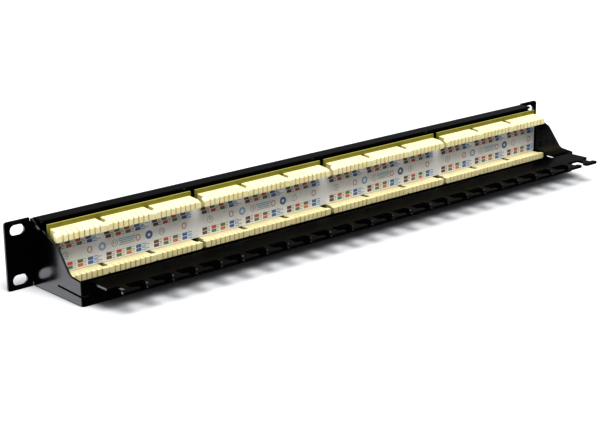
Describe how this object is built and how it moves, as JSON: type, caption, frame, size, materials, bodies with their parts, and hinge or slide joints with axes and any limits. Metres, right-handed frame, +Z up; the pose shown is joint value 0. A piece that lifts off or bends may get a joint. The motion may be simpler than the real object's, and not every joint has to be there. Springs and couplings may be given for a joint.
{
  "type": "patch panel",
  "caption": "19 inch rack patch panel, one unit high: modular jacks through a steel face plate, insulation displacement blocks and a tray with cable tie fingers behind",
  "frame": {"origin": "centre of the four rack slots, on the rear face of the ears", "axes": "+X along the width, -Y out of the socket face, +Y towards the cable side, +Z up"},
  "size_m": [0.4826, 0.0861, 0.0436],
  "materials": {
    "black_powder_coat": "gloss black powder coat on steel sheet",
    "board_laminate": "glass-epoxy laminate with yellow-olive solder mask",
    "printed_label": "light grey printed polyester strip",
    "ivory_plastic": "moulded ivory polycarbonate",
    "black_plastic": "moulded black polycarbonate",
    "tinned_bronze": "tin-plated phosphor bronze",
    "gold_plated_bronze": "gold-plated phosphor bronze"
  },
  "bodies": {
    "root": {"cable_tray": "black_powder_coat", "circuit_board_1": "board_laminate", "circuit_board_2": "board_laminate", "circuit_board_3": "board_laminate", "circuit_board_4": "board_laminate", "code_label": "printed_label", "front_panel": "black_powder_coat", "idc_block_01": "ivory_plastic", "idc_block_02": "ivory_plastic", "idc_block_03": "ivory_plastic", "idc_block_04": "ivory_plastic", "idc_block_05": "ivory_plastic", "idc_block_06": "ivory_plastic", "idc_block_07": "ivory_plastic", "idc_block_08": "ivory_plastic", "idc_block_09": "ivory_plastic", "idc_block_10": "ivory_plastic", "idc_block_11": "ivory_plastic", "idc_block_12": "ivory_plastic", "idc_block_13": "ivory_plastic", "idc_block_14": "ivory_plastic", "idc_block_15": "ivory_plastic", "idc_block_16": "ivory_plastic", "idc_block_17": "ivory_plastic", "idc_block_18": "ivory_plastic", "idc_block_19": "ivory_plastic", "idc_block_20": "ivory_plastic", "idc_block_21": "ivory_plastic", "idc_block_22": "ivory_plastic", "idc_block_23": "ivory_plastic", "idc_block_24": "ivory_plastic", "idc_contacts": "tinned_bronze", "jack_01": "black_plastic", "jack_02": "black_plastic", "jack_03": "black_plastic", "jack_04": "black_plastic", "jack_05": "black_plastic", "jack_06": "black_plastic", "jack_07": "black_plastic", "jack_08": "black_plastic", "jack_09": "black_plastic", "jack_10": "black_plastic", "jack_11": "black_plastic", "jack_12": "black_plastic", "jack_13": "black_plastic", "jack_14": "black_plastic", "jack_15": "black_plastic", "jack_16": "black_plastic", "jack_17": "black_plastic", "jack_18": "black_plastic", "jack_19": "black_plastic", "jack_20": "black_plastic", "jack_21": "black_plastic", "jack_22": "black_plastic", "jack_23": "black_plastic", "jack_24": "black_plastic", "jack_springs": "gold_plated_bronze", "tie_fingers": "black_powder_coat"}
  },
  "joints": []
}
